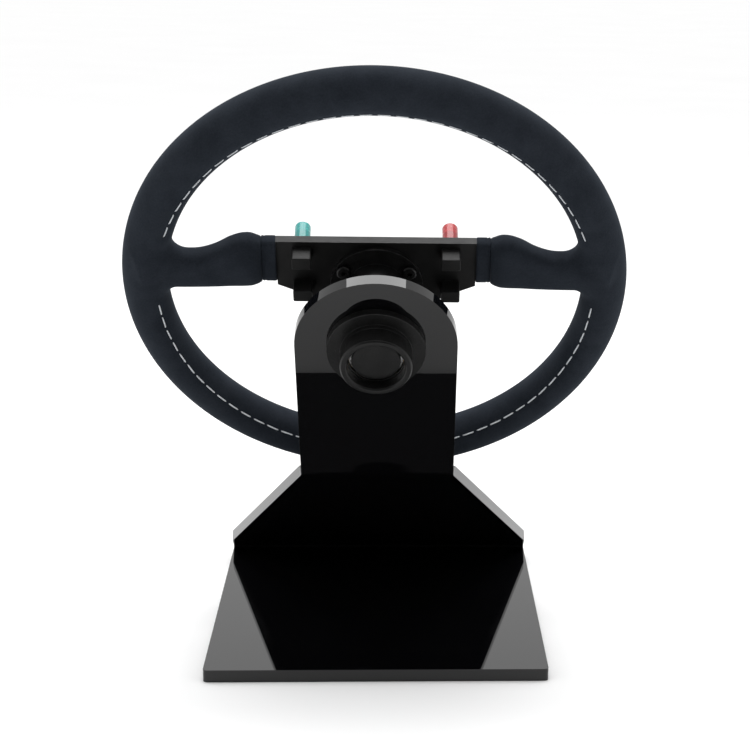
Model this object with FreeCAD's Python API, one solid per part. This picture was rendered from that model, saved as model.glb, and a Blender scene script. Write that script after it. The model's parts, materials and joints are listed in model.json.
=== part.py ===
import FreeCAD, Part
import math
import os

# Racing wheel on a bent acrylic display stand.  Millimetres, +Z up, origin at the centre of the base underside.
# The driver's side is -Y.  Pieces carried by the hub are drawn in a tilted frame whose origin is the steering
# axis at the stand's rear face: x to the viewer's right as seen from behind, y up the upright, z to the rear.

V = FreeCAD.Vector

# Acrylic stand: flat base, fold, rising ramp that tapers, knee, upright
SHEET_T = 8.0
BASE_WIDTH = 218.0
BASE_DEPTH = 245.0
FOLD_INNER_R = 1.0
KNEE_INNER_R = 3.0
RAMP_ANGLE = 34.2
RAMP_LENGTH = 175.0
SHOULDER_LENGTH = 15.0
UPRIGHT_ANGLE = 60.0
COLUMN_HALF = 50.5
KNEE_TO_AXIS = 115.0
BASE_CORNER_R = 3.0
CUT_MARGIN = 1.0
SHEET_HOLE_CLEARANCE = 0.2

# Bearing housing clamped through the upright
FLANGE_FRONT_R = 30.0
FLANGE_REAR_R = 30.7
FLANGE_T = 5.0
SLEEVE_R = 20.0
SLEEVE_BORE_R = 17.3
SLEEVE_END = 12.0
NECK_R = 22.3
NECK_END = 8.0
RING_END = 20.0
RING_BORE_R = 17.8
RING_CHAMFER = 1.0
BUSH_LENGTH = 8.0
BUSH_REAR_END = 8.5

# Steering shaft and hub
SHAFT_R = 15.2
SHAFT_CLEARANCE = 0.05
SHAFT_END = 13.5
SPIGOT_R = 13.0
SPIGOT_START = -44.0
HUB_REAR = -16.0
WASHER_R = 27.0
WASHER_GAP = 0.1
CLIP_START = 8.6
CLIP_T = 1.2
CLIP_GROOVE_R = 14.4
CLIP_OUTER_R = 16.9
CLIP_GAP = 7.0
TUBE_R = 18.2
HUB_FLANGE_R = 29.5
HUB_FLANGE_T = 3.0
BOLT_CIRCLE_R = 24.0
BOLT_ANGLES = (30.0, 150.0, 270.0)
BOLT_R = 2.5
BOLT_HOLE_R = 2.6
BOLT_HEAD_R = 4.75
BOLT_HEAD_T = 2.75
BOLT_SOCKET_R = 1.6
BOLT_SOCKET_DEPTH = 1.6
BOLT_TIP = -71.5
NUT_ACROSS_FLATS = 8.0
NUT_T = 4.0
SET_SCREW_R = 2.0
SET_SCREW_Z = -30.0
SET_SCREW_RECESS = 0.6

# Centre plate
PLATE_REAR = -60.0
PLATE_T = 6.0
PLATE_TOP = 32.7
PLATE_HALF = 63.0
TONGUE_TOP = ((63.0, 31.0), (72.0, 30.5), (82.0, 28.0), (104.0, 20.0), (143.0, 20.0))
TONGUE_BOTTOM = ((143.0, 6.0), (104.0, 6.0), (82.0, 5.0), (63.0, 3.4))
PLATE_BOTTOM = ((63.0, -1.8), (52.0, -6.8), (25.0, -21.1))
CAP_R = 17.5
CAP_DEPTH = 10.0
CAP_WALL = 2.2
CAP_EDGE_R = 3.0

# Rim and spoke grips
RIM_R = 145.75
RIM_SECTION_R = 14.25
RIM_PLANE = -59.0
COVER_T = 1.5
HOOP_R = 5.0
FOAM_BLOCKS = 16
# Grip sections along one spoke: distance out, lower edge, upper edge, half thickness, middle depth
GRIP_SECTIONS = (
    (72.0, 1.5, 35.0, 8.5, -61.5),
    (76.0, 0.3, 36.6, 9.6, -60.8),
    (81.5, 0.0, 37.3, 10.0, -60.0),
    (89.0, 0.0, 35.2, 10.0, -60.0),
    (99.0, 0.0, 29.0, 10.0, -59.7),
    (111.0, 0.0, 25.4, 9.8, -59.3),
    (119.0, 0.0, 25.8, 9.8, -59.0),
    (124.0, -1.5, 28.5, 9.8, -59.0),
    (129.0, -4.5, 33.5, 9.8, -59.0),
    (138.0, -7.0, 38.0, 9.0, -59.0),
)
SECTION_POWER = 2.6
SECTION_POINTS = 20
COLLAR_INNER = 63.0
COLLAR_OUTER = 72.0
COLLAR_LOW = 1.0
COLLAR_HIGH = 33.4
COLLAR_HALF_T = 7.0

# Push buttons: name, x, y in the tilted frame
BUTTONS = (
    ("green", -46.8, 24.2),
    ("red", 46.8, 24.2),
    ("blue", -46.8, -1.9),
    ("amber", 46.8, -1.9),
)
BEZEL_R = 6.0
BEZEL_T = 3.0
PLUNGER_R = 5.05
PLUNGER_CLEARANCE = 0.05
PLUNGER_REAR = -68.0
PLUNGER_FRONT = -77.0
SPIGOT_CAP_R = 3.4
SPIGOT_CAP_L = 2.0
LENS_R = 5.0
LENS_FRONT = -85.3
LENS_WALL = 1.5
LENS_EDGE_R = 1.0
SPRING_POCKET_R = 4.1
SPRING_POCKET_FLOOR = -73.0
SPRING_COIL_R = 3.4
SPRING_WIRE_R = 0.5
SPRING_TURNS = 3
STEM_R = 1.6
STEM_CLEARANCE = 0.05
STEM_END = -58.5
CONTACT_R = 3.2
CONTACT_T = 1.0
CONTACT_GAP = 0.05
SWITCH_WIDTH = 12.0
SWITCH_HEIGHT = 8.7
SWITCH_REAR = -50.8
SWITCH_CAVITY_R = 3.6
SWITCH_CAVITY_REAR = -54.5
SWITCH_CORNER_R = 1.2
LID_REAR = -48.5
LID_CHAMFER = 0.4
TERMINAL_FRONT = -57.3
TERMINAL_PAD_T = 0.8
TERMINAL_INNER = 2.0
TERMINAL_LEG_INNER = 2.6
TERMINAL_OUTER = 3.4
TERMINAL_HALF_WIDTH = 0.8

PLATE_FRONT = PLATE_REAR - PLATE_T
UP = math.radians(UPRIGHT_ANGLE)
RAMP = math.radians(RAMP_ANGLE)
AXIS_X = V(-1, 0, 0)
AXIS_Y = V(0, math.cos(UP), math.sin(UP))
AXIS_Z = V(0, math.sin(UP), -math.cos(UP))
FOLD = V(0, -BASE_DEPTH / 2, SHEET_T)
RAMP_ALONG = V(0, math.cos(RAMP), math.sin(RAMP))
RAMP_UNDER = V(0, math.sin(RAMP), -math.cos(RAMP))
KNEE = FOLD + RAMP_ALONG * RAMP_LENGTH
PIVOT = KNEE + AXIS_Y * KNEE_TO_AXIS
TILTED = FreeCAD.Placement(FreeCAD.Matrix(
    AXIS_X.x, AXIS_Y.x, AXIS_Z.x, PIVOT.x,
    AXIS_X.y, AXIS_Y.y, AXIS_Z.y, PIVOT.y,
    AXIS_X.z, AXIS_Y.z, AXIS_Z.z, PIVOT.z,
    0, 0, 0, 1))

os.makedirs("parts", exist_ok=True)


def save(name, shape, tilted=True):
    """Write one piece, placed on the stand."""
    piece = shape.copy()
    if tilted:
        piece.Placement = TILTED.multiply(piece.Placement)
    piece.exportStep("parts/" + name + ".step")


def rod(radius, start, end, x=0.0, y=0.0):
    """Cylinder along the steering axis between two depths."""
    return Part.makeCylinder(radius, end - start, V(x, y, start))


def ring(outer, inner, start, end, x=0.0, y=0.0):
    """Tube along the steering axis."""
    return rod(outer, start, end, x, y).cut(rod(inner, start, end, x, y))


def box(x0, x1, y0, y1, z0, z1):
    """Box given by its limits."""
    return Part.makeBox(x1 - x0, y1 - y0, z1 - z0, V(x0, y0, z0))


def prism(points, start, end):
    """Flat outline pulled through from one depth to another."""
    wire = Part.makePolygon([V(x, y, start) for x, y in points + [points[0]]])
    return Part.Face(wire).extrude(V(0, 0, end - start))


def edges_along(shape, direction, test):
    """Straight edges parallel to a direction whose middle passes a test."""
    found = []
    for edge in shape.Edges:
        if len(edge.Vertexes) != 2:
            continue
        span = edge.Vertexes[1].Point - edge.Vertexes[0].Point
        if span.Length > 0 and span.cross(direction).Length < 1e-6 * span.Length and test(edge.CenterOfMass):
            found.append(edge)
    return found


def circle_edges(shape, radius, depth):
    """Round edges of a given radius at a given depth."""
    return [e for e in shape.Edges
            if hasattr(e.Curve, "Radius") and abs(e.Curve.Radius - radius) < 1e-4
            and abs(e.CenterOfMass.z - depth) < 1e-4]


def mirrored(points):
    """Points given for one half, closed with their mirror image."""
    return list(points) + [(-x, y) for x, y in reversed(points)]


def crossing(p, along_p, q, along_q):
    """Point where two lines in the side view cross."""
    cross = along_p.y * along_q.z - along_p.z * along_q.y
    step = ((q.y - p.y) * along_q.z - (q.z - p.z) * along_q.y) / cross
    return p + along_p * step


def stand_sheet():
    """One folded sheet: base, ramp and upright, with a round top and a shaft hole."""
    half = BASE_DEPTH / 2
    over_ramp = FOLD - RAMP_UNDER * SHEET_T
    over_upright = KNEE - AXIS_Z * SHEET_T
    corner = V(0, half, 0)
    fold_out = crossing(corner, V(0, 1, 0), over_ramp, RAMP_ALONG)
    knee_in = crossing(over_ramp, RAMP_ALONG, over_upright, AXIS_Y)
    side = [corner, V(0, half, SHEET_T), FOLD, KNEE, PIVOT, PIVOT - AXIS_Z * SHEET_T, knee_in, fold_out]
    profile = Part.Face(Part.makePolygon(side + side[:1]))
    profile.translate(V(-BASE_WIDTH / 2, 0, 0))
    sheet = profile.extrude(V(BASE_WIDTH, 0, 0))
    across = V(1, 0, 0)
    for point, radius in ((FOLD, FOLD_INNER_R), (fold_out, FOLD_INNER_R + SHEET_T),
                          (knee_in, KNEE_INNER_R), (KNEE, KNEE_INNER_R + SHEET_T)):
        bend = edges_along(sheet, across, lambda p: (p - point).Length < 0.01)
        sheet = sheet.makeFillet(radius, bend)
    corners = edges_along(sheet, V(0, 0, 1), lambda p: p.y > half - 1)
    sheet = sheet.makeFillet(BASE_CORNER_R, corners)

    wide = BASE_WIDTH / 2 + CUT_MARGIN
    deep = SHEET_T + 2 * CUT_MARGIN + KNEE_INNER_R
    past = RAMP_LENGTH + 2 * SHEET_T
    for sign in (-1, 1):
        outline = [(sign * BASE_WIDTH / 2, SHOULDER_LENGTH), (sign * COLUMN_HALF, RAMP_LENGTH),
                   (sign * COLUMN_HALF, past), (sign * wide, past), (sign * wide, SHOULDER_LENGTH)]
        points = [FOLD + RAMP_ALONG * h + RAMP_UNDER * CUT_MARGIN + V(x, 0, 0) for x, h in outline]
        waste = Part.Face(Part.makePolygon(points + points[:1])).extrude(RAMP_UNDER * -deep)
        sheet = sheet.cut(waste)
        x0, x1 = sorted((sign * COLUMN_HALF, sign * wide))
        waste = box(x0, x1, -KNEE_TO_AXIS, CUT_MARGIN, -deep, CUT_MARGIN)
        waste.Placement = TILTED
        sheet = sheet.cut(waste)

    top = rod(COLUMN_HALF, -SHEET_T, 0.0)
    hole = rod(SLEEVE_R + SHEET_HOLE_CLEARANCE, -SHEET_T, 0.0)
    top.Placement = TILTED
    hole.Placement = TILTED
    return sheet.fuse(top).cut(hole).removeSplitter()


def bearing_pieces():
    """Housing, rear flange, lock ring and bushes that hold the shaft in the upright."""
    front = -SHEET_T - FLANGE_T
    housing = rod(FLANGE_FRONT_R, front, -SHEET_T).fuse(rod(SLEEVE_R, front, SLEEVE_END))
    housing = housing.cut(rod(SLEEVE_BORE_R, front, SLEEVE_END)).removeSplitter()
    save("bearing_housing", housing)

    rear = rod(FLANGE_REAR_R, 0.0, FLANGE_T).fuse(rod(NECK_R, 0.0, NECK_END))
    save("rear_flange", rear.cut(rod(SLEEVE_R, 0.0, NECK_END)).removeSplitter())

    lock = rod(NECK_R, NECK_END, RING_END).cut(rod(RING_BORE_R, NECK_END, RING_END))
    lock = lock.cut(rod(SLEEVE_R, NECK_END, SLEEVE_END))
    lips = circle_edges(lock, NECK_R, RING_END) + circle_edges(lock, RING_BORE_R, RING_END)
    save("lock_ring", lock.makeChamfer(RING_CHAMFER, lips))

    bush_bore = SHAFT_R + SHAFT_CLEARANCE
    save("bush_front", ring(SLEEVE_BORE_R, bush_bore, front, front + BUSH_LENGTH))
    save("bush_rear", ring(SLEEVE_BORE_R, bush_bore, BUSH_REAR_END - BUSH_LENGTH, BUSH_REAR_END))


def bolt_places():
    """Centres of the hub bolts."""
    return [(BOLT_CIRCLE_R * math.cos(math.radians(a)), BOLT_CIRCLE_R * math.sin(math.radians(a)))
            for a in BOLT_ANGLES]


def hub_pieces():
    """Shaft, clip, washer, adapter and fasteners between the bearing and the centre plate."""
    shaft = rod(SHAFT_R, HUB_REAR, SHAFT_END).fuse(rod(SPIGOT_R, SPIGOT_START, HUB_REAR)).removeSplitter()
    shaft = shaft.cut(ring(SHAFT_R + 1, CLIP_GROOVE_R, CLIP_START, CLIP_START + CLIP_T))
    shaft = shaft.makeChamfer(RING_CHAMFER / 2, circle_edges(shaft, SHAFT_R, SHAFT_END))
    save("steering_shaft", shaft)

    clip = ring(CLIP_OUTER_R, CLIP_GROOVE_R, CLIP_START, CLIP_START + CLIP_T)
    gap = box(-CLIP_GAP / 2, CLIP_GAP / 2, -CLIP_OUTER_R - 1, 0, CLIP_START, CLIP_START + CLIP_T)
    save("retaining_clip", clip.cut(gap))

    housing_face = -SHEET_T - FLANGE_T
    save("friction_washer", ring(WASHER_R, SHAFT_R, HUB_REAR, housing_face - WASHER_GAP))

    adapter = rod(TUBE_R, PLATE_REAR, HUB_REAR)
    adapter = adapter.fuse(rod(HUB_FLANGE_R, PLATE_REAR, PLATE_REAR + HUB_FLANGE_T)).removeSplitter()
    adapter = adapter.cut(rod(SPIGOT_R, SPIGOT_START, HUB_REAR))
    bolts = []
    nuts = []
    seat = PLATE_REAR + HUB_FLANGE_T
    for x, y in bolt_places():
        adapter = adapter.cut(rod(BOLT_HOLE_R, PLATE_REAR, seat, x, y))
        head = rod(BOLT_HEAD_R, seat, seat + BOLT_HEAD_T, x, y)
        head = head.makeFillet(BOLT_HEAD_T / 2, circle_edges(head, BOLT_HEAD_R, seat + BOLT_HEAD_T))
        bolt = head.fuse(rod(BOLT_R, BOLT_TIP, seat, x, y)).removeSplitter()
        socket_floor = seat + BOLT_HEAD_T - BOLT_SOCKET_DEPTH
        bolts.append(bolt.cut(hexagon(BOLT_SOCKET_R, socket_floor, seat + BOLT_HEAD_T, x, y)))
        nut = hexagon(NUT_ACROSS_FLATS / math.sqrt(3), PLATE_FRONT - NUT_T, PLATE_FRONT, x, y)
        nuts.append(nut.cut(rod(BOLT_R, PLATE_FRONT - NUT_T, PLATE_FRONT, x, y)))
    screw_bore = Part.makeCylinder(SET_SCREW_R, TUBE_R, V(0, 0, SET_SCREW_Z), V(0, -1, 0))
    save("hub_adapter", adapter.cut(screw_bore))
    save("hub_bolts", Part.makeCompound(bolts))
    save("hub_nuts", Part.makeCompound(nuts))

    length = TUBE_R - SPIGOT_R - SET_SCREW_RECESS
    screw = Part.makeCylinder(SET_SCREW_R, length, V(0, -SPIGOT_R, SET_SCREW_Z), V(0, -1, 0))
    screw = screw.common(rod(TUBE_R, SET_SCREW_Z - TUBE_R, SET_SCREW_Z + TUBE_R)).cut(
        rod(SPIGOT_R, SPIGOT_START, HUB_REAR))
    save("hub_set_screw", screw)


def hexagon(radius, start, end, x, y):
    """Six-sided prism with a given corner radius."""
    points = [(x + radius * math.cos(math.radians(60 * k)), y + radius * math.sin(math.radians(60 * k)))
              for k in range(6)]
    return prism(points, start, end)


def hoop():
    """Steel ring inside the rim."""
    return Part.makeTorus(RIM_R, HOOP_R, V(0, 0, RIM_PLANE))


def plate_blank():
    """Plate with a tongue inside each spoke, before drilling."""
    half = [(PLATE_HALF, PLATE_TOP)] + list(TONGUE_TOP) + list(TONGUE_BOTTOM) + list(PLATE_BOTTOM)
    plate = prism(mirrored(half), PLATE_FRONT, PLATE_REAR)
    return plate.fuse(rod(PLATE_TOP, PLATE_FRONT, PLATE_REAR)).removeSplitter()


def centre_plate():
    """Plate drilled for the bolts and button stems, and notched round the hoop."""
    plate = plate_blank()
    for x, y in bolt_places():
        plate = plate.cut(rod(BOLT_HOLE_R, PLATE_FRONT, PLATE_REAR, x, y))
    for _, x, y in BUTTONS:
        plate = plate.cut(rod(STEM_R + STEM_CLEARANCE, PLATE_FRONT, PLATE_REAR, x, y))
    return plate.cut(hoop())


def centre_cap():
    """Round cap inside the bolt circle."""
    cap = rod(CAP_R, PLATE_FRONT - CAP_DEPTH, PLATE_FRONT)
    cap = cap.makeFillet(CAP_EDGE_R, circle_edges(cap, CAP_R, PLATE_FRONT - CAP_DEPTH))
    return cap.cut(rod(CAP_R - CAP_WALL, PLATE_FRONT - CAP_DEPTH + CAP_WALL + 1, PLATE_FRONT))


def section_wire(x, low, high, half_t, middle):
    """Rounded section across a spoke."""
    points = []
    for k in range(SECTION_POINTS):
        a = 2 * math.pi * k / SECTION_POINTS
        c = math.copysign(abs(math.cos(a)) ** (2 / SECTION_POWER), math.cos(a))
        s = math.copysign(abs(math.sin(a)) ** (2 / SECTION_POWER), math.sin(a))
        points.append(V(x, (low + high) / 2 + (high - low) / 2 * s, middle + half_t * c))
    curve = Part.BSplineCurve()
    curve.interpolate(points, PeriodicFlag=True)
    return Part.Wire(curve.toShape())


def grip(side, inset):
    """Padded spoke, drawn in by the thickness of the cover."""
    wires = [section_wire(side * x, low + inset, high - inset, half_t - inset, middle)
             for x, low, high, half_t, middle in GRIP_SECTIONS]
    return Part.makeLoft(wires, True, False)


def collar(side):
    """Sleeve closing the inner end of a spoke grip round the centre plate."""
    wire = section_wire(side * COLLAR_INNER, COLLAR_LOW, COLLAR_HIGH, COLLAR_HALF_T, PLATE_REAR - PLATE_T / 2)
    return Part.Face(wire).extrude(V(side * (COLLAR_OUTER - COLLAR_INNER), 0, 0))


def foam_blocks():
    """Foam round the hoop, in equal blocks, and one block in each spoke grip."""
    turn = 360.0 / FOAM_BLOCKS
    centre = V(0, 0, RIM_PLANE)
    padding = RIM_SECTION_R - COVER_T
    plate = plate_blank()
    blocks = []
    for k in range(FOAM_BLOCKS):
        block = Part.makeTorus(RIM_R, padding, centre, V(0, 0, 1), -180, 180, turn)
        block.rotate(centre, V(0, 0, 1), (k - 0.5) * turn)
        blocks.append(block.cut(hoop()).cut(plate))
    ring_space = Part.makeTorus(RIM_R, padding, centre)
    for side in (-1, 1):
        blocks.append(grip(side, COVER_T).cut(ring_space).cut(plate))
    return Part.makeCompound([max(block.Solids, key=lambda solid: solid.Volume) for block in blocks])


def rim_pieces():
    """Hoop, centre plate, foam, suede cover and spoke collars."""
    plate = centre_plate()
    save("rim_hoop", hoop())
    save("centre_plate", plate)
    save("centre_cap", centre_cap())
    save("rim_foam", foam_blocks())
    inner = Part.makeTorus(RIM_R, RIM_SECTION_R - COVER_T, V(0, 0, RIM_PLANE))
    outer = Part.makeTorus(RIM_R, RIM_SECTION_R, V(0, 0, RIM_PLANE))
    for side in (-1, 1):
        inner = inner.fuse(grip(side, COVER_T))
        outer = outer.fuse(grip(side, 0.0))
    save("rim_cover", outer.cut(inner).cut(plate))
    save("spoke_collar_right", collar(-1).cut(plate))
    save("spoke_collar_left", collar(1).cut(plate))


def rounded_block(x, y, start, end):
    """Block with rounded upright corners, the outline of a switch."""
    w = SWITCH_WIDTH / 2
    h = SWITCH_HEIGHT / 2
    block = box(x - w, x + w, y - h, y + h, start, end)
    return block.makeFillet(SWITCH_CORNER_R, edges_along(block, V(0, 0, 1), lambda p: True))


def spring_coil(x, y):
    """Return spring standing between the plate and the plunger."""
    height = PLATE_FRONT - SPRING_POCKET_FLOOR - 2 * SPRING_WIRE_R
    path = Part.makeHelix(height / SPRING_TURNS, height, SPRING_COIL_R)
    wire = Part.Wire(Part.makeCircle(SPRING_WIRE_R, V(SPRING_COIL_R, 0, 0), V(0, 1, 0)))
    coil = Part.Wire(path).makePipeShell([wire], True, True)
    coil.translate(V(x, y, SPRING_POCKET_FLOOR + SPRING_WIRE_R))
    return coil


def button_pieces(name, x, y):
    """One lit push button with its switch behind the plate."""
    save(name + "_bezel", ring(BEZEL_R, PLUNGER_R + PLUNGER_CLEARANCE, PLATE_FRONT - BEZEL_T, PLATE_FRONT, x, y))

    plunger = rod(PLUNGER_R, PLUNGER_FRONT, PLUNGER_REAR, x, y)
    plunger = plunger.cut(rod(SPRING_POCKET_R, SPRING_POCKET_FLOOR, PLUNGER_REAR, x, y))
    plunger = plunger.fuse(rod(STEM_R, PLUNGER_FRONT, STEM_END, x, y))
    plunger = plunger.fuse(rod(SPIGOT_CAP_R, PLUNGER_FRONT - SPIGOT_CAP_L, PLUNGER_FRONT, x, y))
    save(name + "_plunger", plunger.removeSplitter())

    lens = rod(LENS_R, LENS_FRONT, PLUNGER_FRONT, x, y)
    lens = lens.makeFillet(LENS_EDGE_R, circle_edges(lens, LENS_R, LENS_FRONT))
    save(name + "_lens", lens.cut(rod(SPIGOT_CAP_R, LENS_FRONT + LENS_WALL, PLUNGER_FRONT, x, y)))
    save(name + "_spring", spring_coil(x, y))

    near = PLATE_REAR + CONTACT_GAP
    save(name + "_contact", ring(CONTACT_R, STEM_R, near, near + CONTACT_T, x, y))

    pads = []
    for side in (-1, 1):
        xs = sorted((x + side * TERMINAL_INNER, x + side * TERMINAL_OUTER))
        legs = sorted((x + side * TERMINAL_LEG_INNER, x + side * TERMINAL_OUTER))
        y0 = y - TERMINAL_HALF_WIDTH
        y1 = y + TERMINAL_HALF_WIDTH
        pad = box(xs[0], xs[1], y0, y1, TERMINAL_FRONT, TERMINAL_FRONT + TERMINAL_PAD_T)
        leg = box(legs[0], legs[1], y0, y1, TERMINAL_FRONT, SWITCH_REAR)
        pads.append(pad.fuse(leg).removeSplitter())
    terminals = Part.makeCompound(pads)
    save(name + "_terminals", terminals)

    body = rounded_block(x, y, PLATE_REAR, SWITCH_REAR)
    body = body.cut(rod(SWITCH_CAVITY_R, PLATE_REAR, SWITCH_CAVITY_REAR, x, y))
    for pad in pads:
        body = body.cut(pad)
    save(name + "_switch", body)

    lid = rounded_block(x, y, SWITCH_REAR, LID_REAR)
    rear_face = max(lid.Faces, key=lambda f: f.CenterOfMass.z)
    save(name + "_lid", lid.makeChamfer(LID_CHAMFER, rear_face.Edges))


save("stand_sheet", stand_sheet(), tilted=False)
bearing_pieces()
hub_pieces()
rim_pieces()
for button_name, button_x, button_y in BUTTONS:
    button_pieces(button_name, button_x, button_y)
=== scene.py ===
import json
import math

import bpy
import numpy as np
from mathutils import Matrix, Vector


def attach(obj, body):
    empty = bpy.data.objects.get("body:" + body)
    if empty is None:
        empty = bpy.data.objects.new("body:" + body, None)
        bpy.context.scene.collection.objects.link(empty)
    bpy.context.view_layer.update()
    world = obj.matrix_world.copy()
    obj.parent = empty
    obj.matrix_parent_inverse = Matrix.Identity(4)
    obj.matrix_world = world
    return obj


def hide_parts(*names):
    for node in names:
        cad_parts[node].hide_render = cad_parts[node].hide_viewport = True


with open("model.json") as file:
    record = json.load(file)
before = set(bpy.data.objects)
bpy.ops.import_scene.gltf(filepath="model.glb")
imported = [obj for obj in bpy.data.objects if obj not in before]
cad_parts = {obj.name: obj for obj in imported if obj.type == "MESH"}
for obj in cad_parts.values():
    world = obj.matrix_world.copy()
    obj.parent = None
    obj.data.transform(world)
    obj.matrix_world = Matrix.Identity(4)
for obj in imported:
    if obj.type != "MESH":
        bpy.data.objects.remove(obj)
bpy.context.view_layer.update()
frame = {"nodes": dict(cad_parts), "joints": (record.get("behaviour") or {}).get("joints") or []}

# Racing wheel on a folded acrylic display stand.  Metres in the scene; the wheel's own pieces are drawn in
# millimetres in a tilted frame (x to the viewer's right from behind, y up the upright, z to the rear) whose
# origin is the steering axis at the upright's rear face.
MM = 0.001
JOINTS = {joint["name"]: joint for joint in frame["joints"]}
STEERING = JOINTS["steering_turn"]
PIVOT = Vector(STEERING["pos_m"])
TILT_Z = Vector(STEERING["axis"]).normalized()
TILT_X = Vector((-1.0, 0.0, 0.0))
TILT_Y = TILT_Z.cross(TILT_X)
TILT = Matrix((
    (TILT_X.x * MM, TILT_Y.x * MM, TILT_Z.x * MM, PIVOT.x),
    (TILT_X.y * MM, TILT_Y.y * MM, TILT_Z.y * MM, PIVOT.y),
    (TILT_X.z * MM, TILT_Y.z * MM, TILT_Z.z * MM, PIVOT.z),
    (0.0, 0.0, 0.0, 1.0)))

RIM_R = 145.75
RIM_SECTION_R = 14.25
RIM_PLANE = -59.0
STITCH_ANGLE = math.radians(34.0)
STITCH_PITCH = 10.7
STITCH_LENGTH = 8.9
THREAD_R = 0.45
STITCH_TURN = math.radians(7.0)
UPPER_ARC = (18.5, 161.5)
LOWER_ARC = (181.5, 358.5)

BUTTONS = ("green", "red", "blue", "amber")
COLLAR_REACH = (61.5, 73.5)
COLLAR_MIDDLE = 67.6
COLLAR_HALF = 4.6
COLLAR_WELT = 70.2


# ---------------------------------------------------------------- materials

def new_material(name):
    """Empty node material with its shader."""
    material = bpy.data.materials.new(name)
    material.use_nodes = True
    return material, material.node_tree, material.node_tree.nodes["Principled BSDF"]


def add(tree, kind, **values):
    """Node with attributes or input values set."""
    node = tree.nodes.new(kind)
    for key, value in values.items():
        if key in node.inputs:
            node.inputs[key].default_value = value
        else:
            setattr(node, key, value)
    return node


def noise(tree, scale, detail=3.0, rough=0.55, stretch=(1.0, 1.0, 1.0)):
    """Noise in object coordinates, features per metre."""
    coords = add(tree, "ShaderNodeTexCoord")
    mapping = add(tree, "ShaderNodeMapping")
    mapping.inputs["Scale"].default_value = stretch
    tree.links.new(coords.outputs["Object"], mapping.inputs["Vector"])
    node = add(tree, "ShaderNodeTexNoise")
    node.inputs["Scale"].default_value = scale
    node.inputs["Detail"].default_value = detail
    node.inputs["Roughness"].default_value = rough
    tree.links.new(mapping.outputs["Vector"], node.inputs["Vector"])
    return node.outputs["Fac"]


def ramp(tree, source, low, high, start, end):
    """Value or colour moved from low to high between two levels of a source."""
    node = add(tree, "ShaderNodeValToRGB")
    node.color_ramp.elements[0].position = start
    node.color_ramp.elements[1].position = end
    node.color_ramp.elements[0].color = shade(low)
    node.color_ramp.elements[1].color = shade(high)
    tree.links.new(source, node.inputs["Fac"])
    return node.outputs["Color"]


def shade(value):
    """Grey or colour as four numbers."""
    if isinstance(value, (int, float)):
        return (value, value, value, 1.0)
    return (*value, 1.0)


def bump(tree, shader, layers):
    """Chain of bumps: (source, strength, distance)."""
    previous = None
    for source, strength, distance in layers:
        node = add(tree, "ShaderNodeBump")
        node.inputs["Strength"].default_value = strength
        node.inputs["Distance"].default_value = distance
        tree.links.new(source, node.inputs["Height"])
        if previous:
            tree.links.new(previous, node.inputs["Normal"])
        previous = node.outputs["Normal"]
    tree.links.new(previous, shader.inputs["Normal"])


def worn_edges(tree, base, worn, amount, width=0.0006):
    """Base colour, rubbed paler in patches along edges."""
    geometry = add(tree, "ShaderNodeNewGeometry")
    rounded = add(tree, "ShaderNodeBevel", samples=6, Radius=width)
    facing = add(tree, "ShaderNodeVectorMath", operation="DOT_PRODUCT")
    tree.links.new(geometry.outputs["Normal"], facing.inputs[0])
    tree.links.new(rounded.outputs["Normal"], facing.inputs[1])
    mask = ramp(tree, facing.outputs["Value"], amount, 0.0, 0.78, 0.97)
    patchy = add(tree, "ShaderNodeMath", operation="MULTIPLY")
    tree.links.new(mask, patchy.inputs[0])
    tree.links.new(ramp(tree, noise(tree, 260.0, 4.0, 0.65), 0.15, 1.0, 0.42, 0.62), patchy.inputs[1])
    mix = add(tree, "ShaderNodeMix", data_type="RGBA")
    tree.links.new(patchy.outputs[0], mix.inputs["Factor"])
    tree.links.new(base, mix.inputs[6])
    mix.inputs[7].default_value = shade(worn)
    return mix.outputs[2]


def suede(name="suede"):
    """Dark blue-black brushed microfibre with a soft nap."""
    material, tree, shader = new_material(name)
    patches = noise(tree, 55.0, 4.0, 0.6)
    nap = noise(tree, 900.0, 3.0, 0.7)
    fibre = noise(tree, 3800.0, 2.0, 0.6)
    mixed = add(tree, "ShaderNodeMath", operation="ADD")
    tree.links.new(patches, mixed.inputs[0])
    tree.links.new(nap, mixed.inputs[1])
    half = add(tree, "ShaderNodeMath", operation="MULTIPLY")
    half.inputs[1].default_value = 0.5
    tree.links.new(mixed.outputs[0], half.inputs[0])
    colour = ramp(tree, half.outputs[0], (0.0118, 0.0148, 0.0202), (0.0228, 0.0275, 0.0355), 0.36, 0.64)
    tree.links.new(colour, shader.inputs["Base Color"])
    tree.links.new(ramp(tree, nap, 0.86, 1.0, 0.3, 0.7), shader.inputs["Roughness"])
    shader.inputs["Specular IOR Level"].default_value = 0.08
    shader.inputs["Sheen Weight"].default_value = 0.04
    shader.inputs["Sheen Roughness"].default_value = 0.55
    shader.inputs["Sheen Tint"].default_value = (0.66, 0.80, 1.0, 1.0)
    bump(tree, shader, [(patches, 0.15, 0.0012), (nap, 0.35, 0.00025), (fibre, 0.5, 0.00008)])
    return material


def thread():
    """Pale twisted sewing thread."""
    material, tree, shader = new_material("thread")
    fleck = noise(tree, 1500.0, 3.0, 0.6)
    colour = ramp(tree, fleck, (0.52, 0.55, 0.58), (0.80, 0.83, 0.86), 0.3, 0.7)
    tree.links.new(colour, shader.inputs["Base Color"])
    shader.inputs["Roughness"].default_value = 0.62
    shader.inputs["Sheen Weight"].default_value = 0.25
    bump(tree, shader, [(noise(tree, 2600.0, 2.0, 0.5, (1.0, 1.0, 2.5)), 0.6, 0.00012)])
    return material


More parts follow.
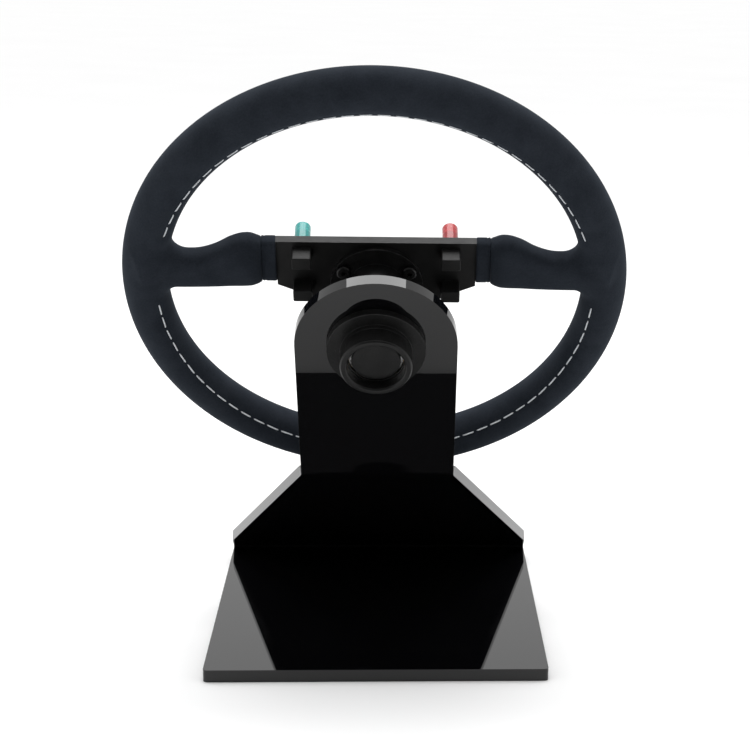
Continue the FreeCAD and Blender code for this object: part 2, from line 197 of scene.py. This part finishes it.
def acrylic():
    """Polished black acrylic with faint dust and hairline scratches."""
    material, tree, shader = new_material("acrylic")
    cloud = noise(tree, 9.0, 3.0, 0.5)
    dust = noise(tree, 1400.0, 2.0, 0.5)
    hair = noise(tree, 60.0, 4.0, 0.6, (1.0, 14.0, 1.0))
    tree.links.new(ramp(tree, dust, (0.0018, 0.0018, 0.0022), (0.010, 0.010, 0.011), 0.70, 0.80),
                   shader.inputs["Base Color"])
    total = add(tree, "ShaderNodeMath", operation="MULTIPLY")
    tree.links.new(cloud, total.inputs[0])
    tree.links.new(hair, total.inputs[1])
    tree.links.new(ramp(tree, total.outputs[0], 0.015, 0.055, 0.2, 0.45), shader.inputs["Roughness"])
    shader.inputs["IOR"].default_value = 1.49
    bump(tree, shader, [(cloud, 0.02, 0.002)])
    return material


def anodised(name, base=0.004, glow=0.010, rough=(0.24, 0.38), turned=False):
    """Black anodised aluminium with a fine brushed or turned grain and pale worn edges."""
    material, tree, shader = new_material(name)
    stretch = (1.0, 1.0, 1.0) if turned else (0.08, 1.0, 1.0)
    grain = noise(tree, 2200.0, 3.0, 0.6, stretch)
    cloud = noise(tree, 70.0, 3.0, 0.5)
    colour = ramp(tree, cloud, base, glow, 0.3, 0.7)
    tree.links.new(worn_edges(tree, colour, (0.30, 0.30, 0.31), 0.35), shader.inputs["Base Color"])
    tree.links.new(ramp(tree, grain, rough[0], rough[1], 0.3, 0.7), shader.inputs["Roughness"])
    shader.inputs["Specular IOR Level"].default_value = 0.2
    bump(tree, shader, [(grain, 0.12, 0.00006)])
    return material


def plastic(name, low, high, rough=(0.38, 0.55), worn=(0.12, 0.12, 0.12)):
    """Moulded plastic with a fine spark-eroded texture."""
    material, tree, shader = new_material(name)
    texture = noise(tree, 3000.0, 2.0, 0.5)
    cloud = noise(tree, 120.0, 3.0, 0.5)
    colour = ramp(tree, cloud, low, high, 0.3, 0.7)
    tree.links.new(worn_edges(tree, colour, worn, 0.4), shader.inputs["Base Color"])
    tree.links.new(ramp(tree, texture, rough[0], rough[1], 0.3, 0.7), shader.inputs["Roughness"])
    shader.inputs["Specular IOR Level"].default_value = 0.22
    bump(tree, shader, [(texture, 0.2, 0.00008)])
    return material


def metal(name, low, high, rough=(0.2, 0.35)):
    """Bare machined metal."""
    material, tree, shader = new_material(name)
    grain = noise(tree, 1800.0, 3.0, 0.6, (1.0, 0.1, 1.0))
    tree.links.new(ramp(tree, grain, low, high, 0.3, 0.7), shader.inputs["Base Color"])
    tree.links.new(ramp(tree, grain, rough[0], rough[1], 0.3, 0.7), shader.inputs["Roughness"])
    shader.inputs["Metallic"].default_value = 1.0
    bump(tree, shader, [(grain, 0.1, 0.00005)])
    return material


def clear_plastic(name, low, high, transmission, rough):
    """Tinted translucent moulding."""
    material, tree, shader = new_material(name)
    cloud = noise(tree, 400.0, 2.0, 0.5)
    tree.links.new(ramp(tree, cloud, low, high, 0.3, 0.7), shader.inputs["Base Color"])
    tree.links.new(ramp(tree, cloud, rough, rough + 0.08, 0.3, 0.7), shader.inputs["Roughness"])
    shader.inputs["IOR"].default_value = 1.49
    shader.inputs["Transmission Weight"].default_value = transmission
    bump(tree, shader, [(cloud, 0.05, 0.0001)])
    return material


TINTS = {
    "green": ((0.010, 0.27, 0.26), (0.016, 0.34, 0.32), (0.020, 0.40, 0.38), (0.034, 0.47, 0.44)),
    "red": ((0.34, 0.008, 0.014), (0.44, 0.014, 0.020), (0.52, 0.018, 0.026), (0.62, 0.034, 0.040)),
    "blue": ((0.008, 0.05, 0.34), (0.014, 0.08, 0.44), (0.020, 0.11, 0.52), (0.034, 0.15, 0.60)),
    "amber": ((0.52, 0.17, 0.006), (0.62, 0.23, 0.010), (0.70, 0.29, 0.018), (0.78, 0.36, 0.034)),
}


def make_materials():
    """One material for each slot of the record."""
    made = {
        "acrylic": acrylic(),
        "black_anodised": anodised("black_anodised", turned=True),
        "plate_anodised": anodised("plate_anodised", 0.004, 0.009, (0.34, 0.5)),
        "bronze": metal("bronze", (0.35, 0.22, 0.09), (0.5, 0.34, 0.15), (0.3, 0.45)),
        "steel": metal("steel", 0.42, 0.58),
        "black_steel": metal("black_steel", 0.02, 0.05, (0.3, 0.45)),
        "friction": plastic("friction", (0.03, 0.026, 0.022), (0.05, 0.045, 0.04), (0.8, 0.95)),
        "suede": suede(),
        "collar": suede("collar"),
        "switch": plastic("switch", 0.005, 0.009, (0.42, 0.6)),
        "contact": metal("contact", (0.5, 0.36, 0.14), (0.68, 0.5, 0.22)),
        "cap": plastic("cap", 0.006, 0.011, (0.35, 0.5)),
        "thread": thread(),
    }
    for name, (dark, lighter, pale, paler) in TINTS.items():
        made[name] = clear_plastic(name, dark, lighter, 0.12, 0.16)
        made[name + "_pale"] = clear_plastic(name + "_pale", pale, paler, 0.2, 0.22)
    return made


# ---------------------------------------------------------------- rim and spokes

def curve(stations, values, x):
    """Smooth curve through a few stations."""
    stations = np.asarray(stations, float)
    values = np.asarray(values, float)
    slopes = np.gradient(values, stations)
    i = np.clip(np.searchsorted(stations, x) - 1, 0, len(stations) - 2)
    h = stations[i + 1] - stations[i]
    t = np.clip((x - stations[i]) / h, 0.0, 1.0)
    a = 2 * t ** 3 - 3 * t ** 2 + 1
    b = t ** 3 - 2 * t ** 2 + t
    c = 3 * t ** 2 - 2 * t ** 3
    d = t ** 3 - t ** 2
    return a * values[i] + b * h * slopes[i] + c * values[i + 1] + d * h * slopes[i + 1]


# Spoke grip along its length: distance out, lower edge, upper edge, half thickness, middle depth
GRIP = np.array((
    (66.0, 1.9, 33.0, 7.6, -62.4),
    (71.5, 1.7, 33.4, 7.9, -62.2),
    (74.5, 0.8, 35.0, 8.9, -61.2),
    (78.0, 0.1, 36.9, 9.8, -60.4),
    (82.5, -0.1, 37.3, 10.0, -60.0),
    (90.5, -0.2, 34.6, 10.0, -60.0),
    (100.5, -0.2, 28.8, 9.8, -59.6),
    (110.5, -0.1, 25.4, 9.6, -59.2),
    (120.5, -0.1, 25.0, 9.6, -59.0),
    (146.0, -0.1, 26.0, 9.4, -59.0),
))
GRIP_POWER = 2.7
GRIP_INNER = 72.0
GRIP_OUTER = 141.0
END_ROUND = 1.2


def rounded_section(y, z, low, high, half_t, middle, power):
    """Signed distance, nearly, to a rounded section across a spoke."""
    a = (high - low) / 2
    dy = np.abs(y - (high + low) / 2)
    dz = np.abs(z - middle)
    q = ((dy / a) ** power + (dz / half_t) ** power + 1e-9) ** (1 / power)
    gy = (dy / a) ** (power - 1) / a
    gz = (dz / half_t) ** (power - 1) / half_t
    slope = np.sqrt(gy ** 2 + gz ** 2) * q ** (1 - power)
    return (q - 1) / np.maximum(slope, 0.25 / np.maximum(a, half_t))


def round_union(a, b, radius):
    """Union with a round fillet."""
    u = np.maximum(radius - a, 0.0)
    v = np.maximum(radius - b, 0.0)
    return np.maximum(radius, np.minimum(a, b)) - np.sqrt(u * u + v * v)


def round_meet(a, b, radius):
    """Intersection with a rounded edge."""
    u = np.maximum(radius + a, 0.0)
    v = np.maximum(radius + b, 0.0)
    return np.minimum(-radius, np.maximum(a, b)) + np.sqrt(u * u + v * v)


def stitch_fade(x, y):
    """One on the two sewn arcs of the rim, nothing at the spokes."""
    angle = np.degrees(np.arctan2(y, x)) % 360.0
    upper = np.minimum(angle - UPPER_ARC[0], UPPER_ARC[1] - angle)
    lower = np.minimum(angle - LOWER_ARC[0], LOWER_ARC[1] - angle)
    return np.clip(np.maximum(upper, lower) / 2.0 + 0.5, 0.0, 1.0)


def rim_field(x, y, z):
    """Covered rim with its two padded spokes."""
    across = np.sqrt(x * x + y * y) - RIM_R
    depth = z - RIM_PLANE
    ring = np.sqrt(across ** 2 + depth ** 2) - RIM_SECTION_R
    angle = np.arctan2(-across, depth)
    off_seam = np.abs(angle - STITCH_ANGLE) * RIM_SECTION_R
    seam = np.exp(-(off_seam / 0.55) ** 2) * 0.34 + np.exp(-(off_seam / 2.6) ** 2) * 0.16
    ring = ring + seam * stitch_fade(x, y)
    ax = np.abs(x)
    low, high, half_t, middle = (curve(GRIP[:, 0], GRIP[:, k], ax) for k in (1, 2, 3, 4))
    grip = rounded_section(y, z, low, high, half_t, middle, GRIP_POWER)
    grip = round_meet(grip, GRIP_INNER - ax, END_ROUND)
    grip = np.maximum(grip, ax - GRIP_OUTER)
    fillet = 9.5 + 3.0 * np.tanh((y - 13.0) / 6.0)
    return round_union(ring, grip, fillet)


def collar_field(side):
    """Sleeve that ends a spoke grip against the centre plate."""
    def field(x, y, z):
        ax = x * side
        section = rounded_section(y, z, 1.2, 33.2, 7.0, -63.0, 3.2)
        welt = np.exp(-((ax - COLLAR_WELT) / 0.5) ** 2) * 0.35
        return round_meet(section + welt, np.abs(ax - COLLAR_MIDDLE) - COLLAR_HALF, 1.0)
    return field


def surface(field, low, high, step):
    """Quads on the zero surface of a field, their corners drawn on to it."""
    counts = [int(math.ceil((b - a) / step)) + 1 for a, b in zip(low, high)]
    axes = [a + step * np.arange(n) for a, n in zip(low, counts)]
    inside = field(*np.meshgrid(*axes, indexing="ij")) < 0
    filled = np.zeros([n - 1 for n in counts], np.int8)
    for i in (0, 1):
        for j in (0, 1):
            for k in (0, 1):
                filled += inside[i:counts[0] - 1 + i, j:counts[1] - 1 + j, k:counts[2] - 1 + k]
    active = (filled > 0) & (filled < 8)
    number = -np.ones(active.shape, np.int64)
    number[active] = np.arange(active.sum())
    points = np.stack([axes[d][np.nonzero(active)[d]] + step / 2 for d in range(3)], 1)
    points = drawn_on(field, points, step)
    quads = []
    for d in range(3):
        near = [slice(None)] * 3
        far = [slice(None)] * 3
        near[d] = slice(0, -1)
        far[d] = slice(1, None)
        starts = inside[tuple(near)]
        ends = inside[tuple(far)]
        u, v = [(1, 2), (2, 0), (0, 1)][d]
        cells = np.stack(np.nonzero(starts != ends), 1)
        keep = np.all((cells[:, [u, v]] > 0) & (cells[:, [u, v]] < np.array(active.shape)[[u, v]]), 1)
        cells = cells[keep]
        corners = []
        for du, dv in ((1, 1), (0, 1), (0, 0), (1, 0)):
            cell = cells.copy()
            cell[:, u] -= du
            cell[:, v] -= dv
            corners.append(number[cell[:, 0], cell[:, 1], cell[:, 2]])
        quad = np.stack(corners, 1)
        outward = starts[cells[:, 0], cells[:, 1], cells[:, 2]]
        quads.append(np.where(outward[:, None], quad, quad[:, ::-1]))
    return points, np.concatenate(quads)


def drawn_on(field, points, step):
    """Points moved along the field's slope on to its zero surface, then evened out."""
    start = points.copy()
    for _ in range(5):
        value, slope = gradient(field, points)
        length = np.maximum((slope ** 2).sum(1), 1e-6)
        points = points - (value / length)[:, None] * slope
        points = start + np.clip(points - start, -step, step)
    return points


def gradient(field, points):
    """Value and slope of a field at some points."""
    eps = 0.02
    value = field(points[:, 0], points[:, 1], points[:, 2])
    slope = np.zeros_like(points)
    for d in range(3):
        ahead = points.copy()
        behind = points.copy()
        ahead[:, d] += eps
        behind[:, d] -= eps
        slope[:, d] = (field(*ahead.T) - field(*behind.T)) / (2 * eps)
    return value, slope


def tilted_object(name, points, faces, material, smooth=True):
    """Mesh drawn in the tilted frame, placed in the row frame."""
    mesh = bpy.data.meshes.new(name)
    placed = points @ np.array(TILT)[:3, :3].T + np.array(PIVOT)
    mesh.from_pydata([tuple(p) for p in placed], [], [tuple(f) for f in faces])
    mesh.update()
    if smooth:
        mesh.polygons.foreach_set("use_smooth", [True] * len(mesh.polygons))
    mesh.materials.append(material)
    piece = bpy.data.objects.new(name, mesh)
    bpy.context.scene.collection.objects.link(piece)
    return piece


def make_rim(mats):
    """Suede cover of the rim and spoke grips."""
    step = 1.4
    reach = RIM_R + RIM_SECTION_R + 2 * step
    depth = RIM_SECTION_R + 2 * step
    low = (-reach, -reach, RIM_PLANE - depth)
    high = (reach, reach, RIM_PLANE + depth)
    points, quads = surface(rim_field, low, high, step)
    cover = tilted_object("rim_suede", points, quads, mats["suede"])
    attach(cover, "wheel")
    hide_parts("rim_cover", "rim_foam")
    for side, word in ((-1, "right"), (1, "left")):
        inner, outer = sorted(side * edge for edge in COLLAR_REACH)
        points, quads = surface(collar_field(side), (inner, -1.0, -72.0), (outer, 36.0, -54.0), 0.6)
        sleeve = tilted_object("collar_suede_" + word, points, quads, mats["collar"])
        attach(sleeve, "wheel")
        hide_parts("spoke_collar_" + word)


def stitch_places():
    """Angles round the rim of the stitches' middles."""
    radius = RIM_R - RIM_SECTION_R * math.sin(STITCH_ANGLE)
    pitch = math.degrees(STITCH_PITCH / radius)
    places = []
    for first, last in (UPPER_ARC, LOWER_ARC):
        count = int((last - first) // pitch)
        start = (first + last) / 2 - (count - 1) / 2 * pitch
        places += [start + k * pitch for k in range(count)]
    return radius, places


def make_stitches(mats):
    """Running stitches sunk at their ends into the seam of the rim."""
    radius, places = stitch_places()
    half = math.degrees(STITCH_LENGTH / 2 / radius)
    random = np.random.default_rng(7)
    rings = 11
    sides = 8
    points = []
    faces = []
    for place in places:
        first = len(points)
        wobble = random.normal(0.0, 0.10)
        stretch = 1.0 + random.normal(0.0, 0.03)
        for i in range(rings):
            t = i / (rings - 1) * 2 - 1
            angle = math.radians(place + t * half * stretch)
            lift = 0.28 * (1 - t ** 4) - 0.42 * t ** 8
            thick = THREAD_R * (1.0 - 0.35 * t ** 6)
            out = np.array((math.cos(angle), math.sin(angle), 0.0))
            seam = STITCH_ANGLE + STITCH_TURN * max(0.0, math.sin(angle))
            rear = np.array((0.0, 0.0, 1.0))
            normal = -out * math.sin(seam) + rear * math.cos(seam)
            across = out * math.cos(seam) + rear * math.sin(seam)
            middle = out * RIM_R + rear * RIM_PLANE
            centre = middle + normal * (RIM_SECTION_R - 0.30 + lift) + across * wobble * t
            for k in range(sides):
                a = 2 * math.pi * k / sides
                ring = across * thick * math.cos(a) * 1.05
                points.append(centre + ring + normal * thick * math.sin(a) * 0.8)
        for i in range(rings - 1):
            for k in range(sides):
                a = first + i * sides + k
                b = first + i * sides + (k + 1) % sides
                faces.append((a, b, b + sides, a + sides))
        faces.append(tuple(first + k for k in range(sides))[::-1])
        faces.append(tuple(first + (rings - 1) * sides + k for k in range(sides)))
    piece = tilted_object("rim_stitching", np.array(points), faces, mats["thread"])
    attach(piece, "wheel")


# ---------------------------------------------------------------- CAD nodes

def smooth_shading():
    """Modifier group: smooth shading, kept sharp where faces meet above an angle."""
    group = bpy.data.node_groups.new("smooth_shading", "GeometryNodeTree")
    group.interface.new_socket("Geometry", in_out="INPUT", socket_type="NodeSocketGeometry")
    group.interface.new_socket("Geometry", in_out="OUTPUT", socket_type="NodeSocketGeometry")
    source = add(group, "NodeGroupInput")
    target = add(group, "NodeGroupOutput")
    clear = add(group, "GeometryNodeRemoveAttribute", Name="custom_normal")
    soft = add(group, "GeometryNodeSetShadeSmooth", domain="FACE")
    soft.inputs["Shade Smooth"].default_value = True
    sharp = add(group, "GeometryNodeSetShadeSmooth", domain="EDGE")
    sharp.inputs["Shade Smooth"].default_value = False
    angle = add(group, "GeometryNodeInputMeshEdgeAngle")
    steep = add(group, "FunctionNodeCompare", operation="GREATER_THAN")
    steep.inputs["B"].default_value = math.radians(SHARP_ANGLE)
    group.links.new(angle.outputs["Unsigned Angle"], steep.inputs["A"])
    group.links.new(steep.outputs["Result"], sharp.inputs["Selection"])
    group.links.new(source.outputs["Geometry"], clear.inputs["Geometry"])
    group.links.new(clear.outputs["Geometry"], soft.inputs["Geometry"])
    group.links.new(soft.outputs["Geometry"], sharp.inputs["Geometry"])
    group.links.new(sharp.outputs["Geometry"], target.inputs["Geometry"])
    return group


def dress(node, material, bevel=0.0, segments=3, angle=40.0):
    """Better material, softly broken edges and smooth shading for a CAD piece."""
    piece = frame["nodes"][node]
    if not piece.data.materials:
        piece.data.materials.append(material)
    for i in range(len(piece.data.materials)):
        piece.data.materials[i] = material
    weld = piece.modifiers.new("weld", "WELD")
    weld.merge_threshold = WELD_MM * MM
    if bevel:
        modifier = piece.modifiers.new("edges", "BEVEL")
        modifier.width = bevel * MM
        modifier.segments = segments
        modifier.limit_method = "ANGLE"
        modifier.angle_limit = math.radians(angle)
        modifier.use_clamp_overlap = True
    shading = piece.modifiers.new("shading", "NODES")
    shading.node_group = SMOOTH
    flat = piece.modifiers.new("flat", "WEIGHTED_NORMAL")
    flat.mode = "FACE_AREA"
    flat.weight = 100
    flat.keep_sharp = True


WELD_MM = 0.002
SHARP_ANGLE = 32.0
SMOOTH = smooth_shading()


def dress_all(mats):
    """Materials and edge rounding for every CAD piece that shows."""
    dress("stand_sheet", mats["acrylic"], 0.35)
    for node in ("bearing_housing", "rear_flange", "hub_adapter", "lock_ring", "steering_shaft"):
        dress(node, mats["black_anodised"], 0.3, 2)
    dress("centre_plate", mats["plate_anodised"], 0.45)
    dress("centre_cap", mats["cap"], 0.3, 2)
    dress("bush_front", mats["bronze"])
    dress("bush_rear", mats["bronze"])
    dress("retaining_clip", mats["steel"], 0.15, 2)
    dress("friction_washer", mats["friction"], 0.3, 2)
    dress("hub_bolts", mats["black_steel"], 0.12, 2)
    dress("hub_nuts", mats["steel"], 0.15, 2)
    dress("hub_set_screw", mats["black_steel"])
    dress("rim_hoop", mats["steel"])
    for name in BUTTONS:
        dress(name + "_bezel", mats["black_anodised"], 0.25, 2)
        dress(name + "_plunger", mats[name], 0.15, 2)
        dress(name + "_lens", mats[name + "_pale"], 0.15, 2)
        dress(name + "_spring", mats["steel"])
        dress(name + "_contact", mats["contact"])
        dress(name + "_terminals", mats["contact"])
        dress(name + "_switch", mats["switch"], 0.25, 2)
        dress(name + "_lid", mats["switch"], 0.15, 2)


# ---------------------------------------------------------------- floor, light and camera

FLOOR_SIZE = 60.0
FLOOR_GAP = 0.0002
SURROUNDINGS = 1.05
SOFTBOX_PLACE = (0.0, -0.45, 1.7)
SOFTBOX_AIM = (0.0, -0.1, 0.0)
SOFTBOX_SIZE = (1.6, 0.8)
SOFTBOX_POWER = 20.0
CARD_PLACE = (0.0, 2.3, 0.9)
CARD_AIM = (0.0, 0.0, 0.3)
CARD_SIZE = (5.0, 1.8)


def make_floor():
    """Plain pale floor."""
    bpy.ops.mesh.primitive_plane_add(size=FLOOR_SIZE, location=(0.0, 0.0, -FLOOR_GAP))
    floor = bpy.context.object
    floor.name = "floor"
    material, tree, shader = new_material("floor")
    tree.links.new(ramp(tree, noise(tree, 3.0), 0.94, 0.955, 0.3, 0.7), shader.inputs["Base Color"])
    shader.inputs["Roughness"].default_value = 0.9
    shader.inputs["Specular IOR Level"].default_value = 0.0
    floor.data.materials.append(material)


def softbox(name, centre, target, size, power):
    """Large rectangular light facing a point."""
    light = bpy.data.lights.new(name, "AREA")
    light.shape = "RECTANGLE"
    light.size, light.size_y = size
    light.energy = power
    lamp = bpy.data.objects.new(name, light)
    lamp.location = centre
    lamp.rotation_euler = (Vector(target) - Vector(centre)).to_track_quat("-Z", "Y").to_euler()
    lamp.visible_camera = False
    bpy.context.scene.collection.objects.link(lamp)


def dark_card(name, centre, target, size):
    """Unlit black card that keeps the surroundings out of reflections on one side."""
    bpy.ops.mesh.primitive_plane_add(size=1.0, location=centre)
    card = bpy.context.object
    card.name = name
    card.scale = (size[0], size[1], 1.0)
    card.rotation_euler = (Vector(target) - Vector(centre)).to_track_quat("Z", "Y").to_euler()
    card.visible_camera = False
    material, _, shader = new_material(name)
    shader.inputs["Base Color"].default_value = (0.008, 0.008, 0.008, 1.0)
    shader.inputs["Roughness"].default_value = 1.0
    shader.inputs["Specular IOR Level"].default_value = 0.0
    card.data.materials.append(material)


def make_light():
    """White surroundings, an overhead softbox and a dark card behind the camera."""
    scene = bpy.context.scene
    world = bpy.data.worlds.new("studio")
    world.use_nodes = True
    background = world.node_tree.nodes["Background"]
    background.inputs["Color"].default_value = (1.0, 1.0, 1.0, 1.0)
    background.inputs["Strength"].default_value = SURROUNDINGS
    scene.world = world
    scene.view_settings.view_transform = "Standard"
    scene.view_settings.look = "None"
    softbox("overhead", SOFTBOX_PLACE, SOFTBOX_AIM, SOFTBOX_SIZE, SOFTBOX_POWER)
    dark_card("dark_card", CARD_PLACE, CARD_AIM, CARD_SIZE)


CAMERA_PLACE = Vector((-0.01020, 1.19206, 0.44966))
CAMERA_PITCH = math.radians(18.685)
CAMERA_YAW = math.radians(3.839)
CAMERA_ROLL = math.radians(-1.210)
SENSOR = 36.0
FOCAL_SHARE = 2.4353
SHIFT = (-0.1785, 0.2345)


def make_camera():
    """Camera at the photograph's viewing angle."""
    forward = Vector((-math.sin(CAMERA_YAW) * math.cos(CAMERA_PITCH),
                      -math.cos(CAMERA_YAW) * math.cos(CAMERA_PITCH),
                      -math.sin(CAMERA_PITCH)))
    level = Vector((-math.cos(CAMERA_YAW), math.sin(CAMERA_YAW), 0.0))
    down = forward.cross(level).normalized()
    if down.z > 0:
        down = -down
    right = level * math.cos(CAMERA_ROLL) + down * math.sin(CAMERA_ROLL)
    up = level * math.sin(CAMERA_ROLL) - down * math.cos(CAMERA_ROLL)
    data = bpy.data.cameras.new("camera")
    data.sensor_width = SENSOR
    data.lens = SENSOR * FOCAL_SHARE
    data.shift_x, data.shift_y = SHIFT
    camera = bpy.data.objects.new("camera", data)
    back = -forward
    camera.matrix_world = Matrix((
        (right.x, up.x, back.x, CAMERA_PLACE.x),
        (right.y, up.y, back.y, CAMERA_PLACE.y),
        (right.z, up.z, back.z, CAMERA_PLACE.z),
        (0.0, 0.0, 0.0, 1.0)))
    bpy.context.scene.collection.objects.link(camera)
    bpy.context.scene.camera = camera


materials = make_materials()
make_rim(materials)
make_stitches(materials)
dress_all(materials)
make_floor()
make_light()
make_camera()
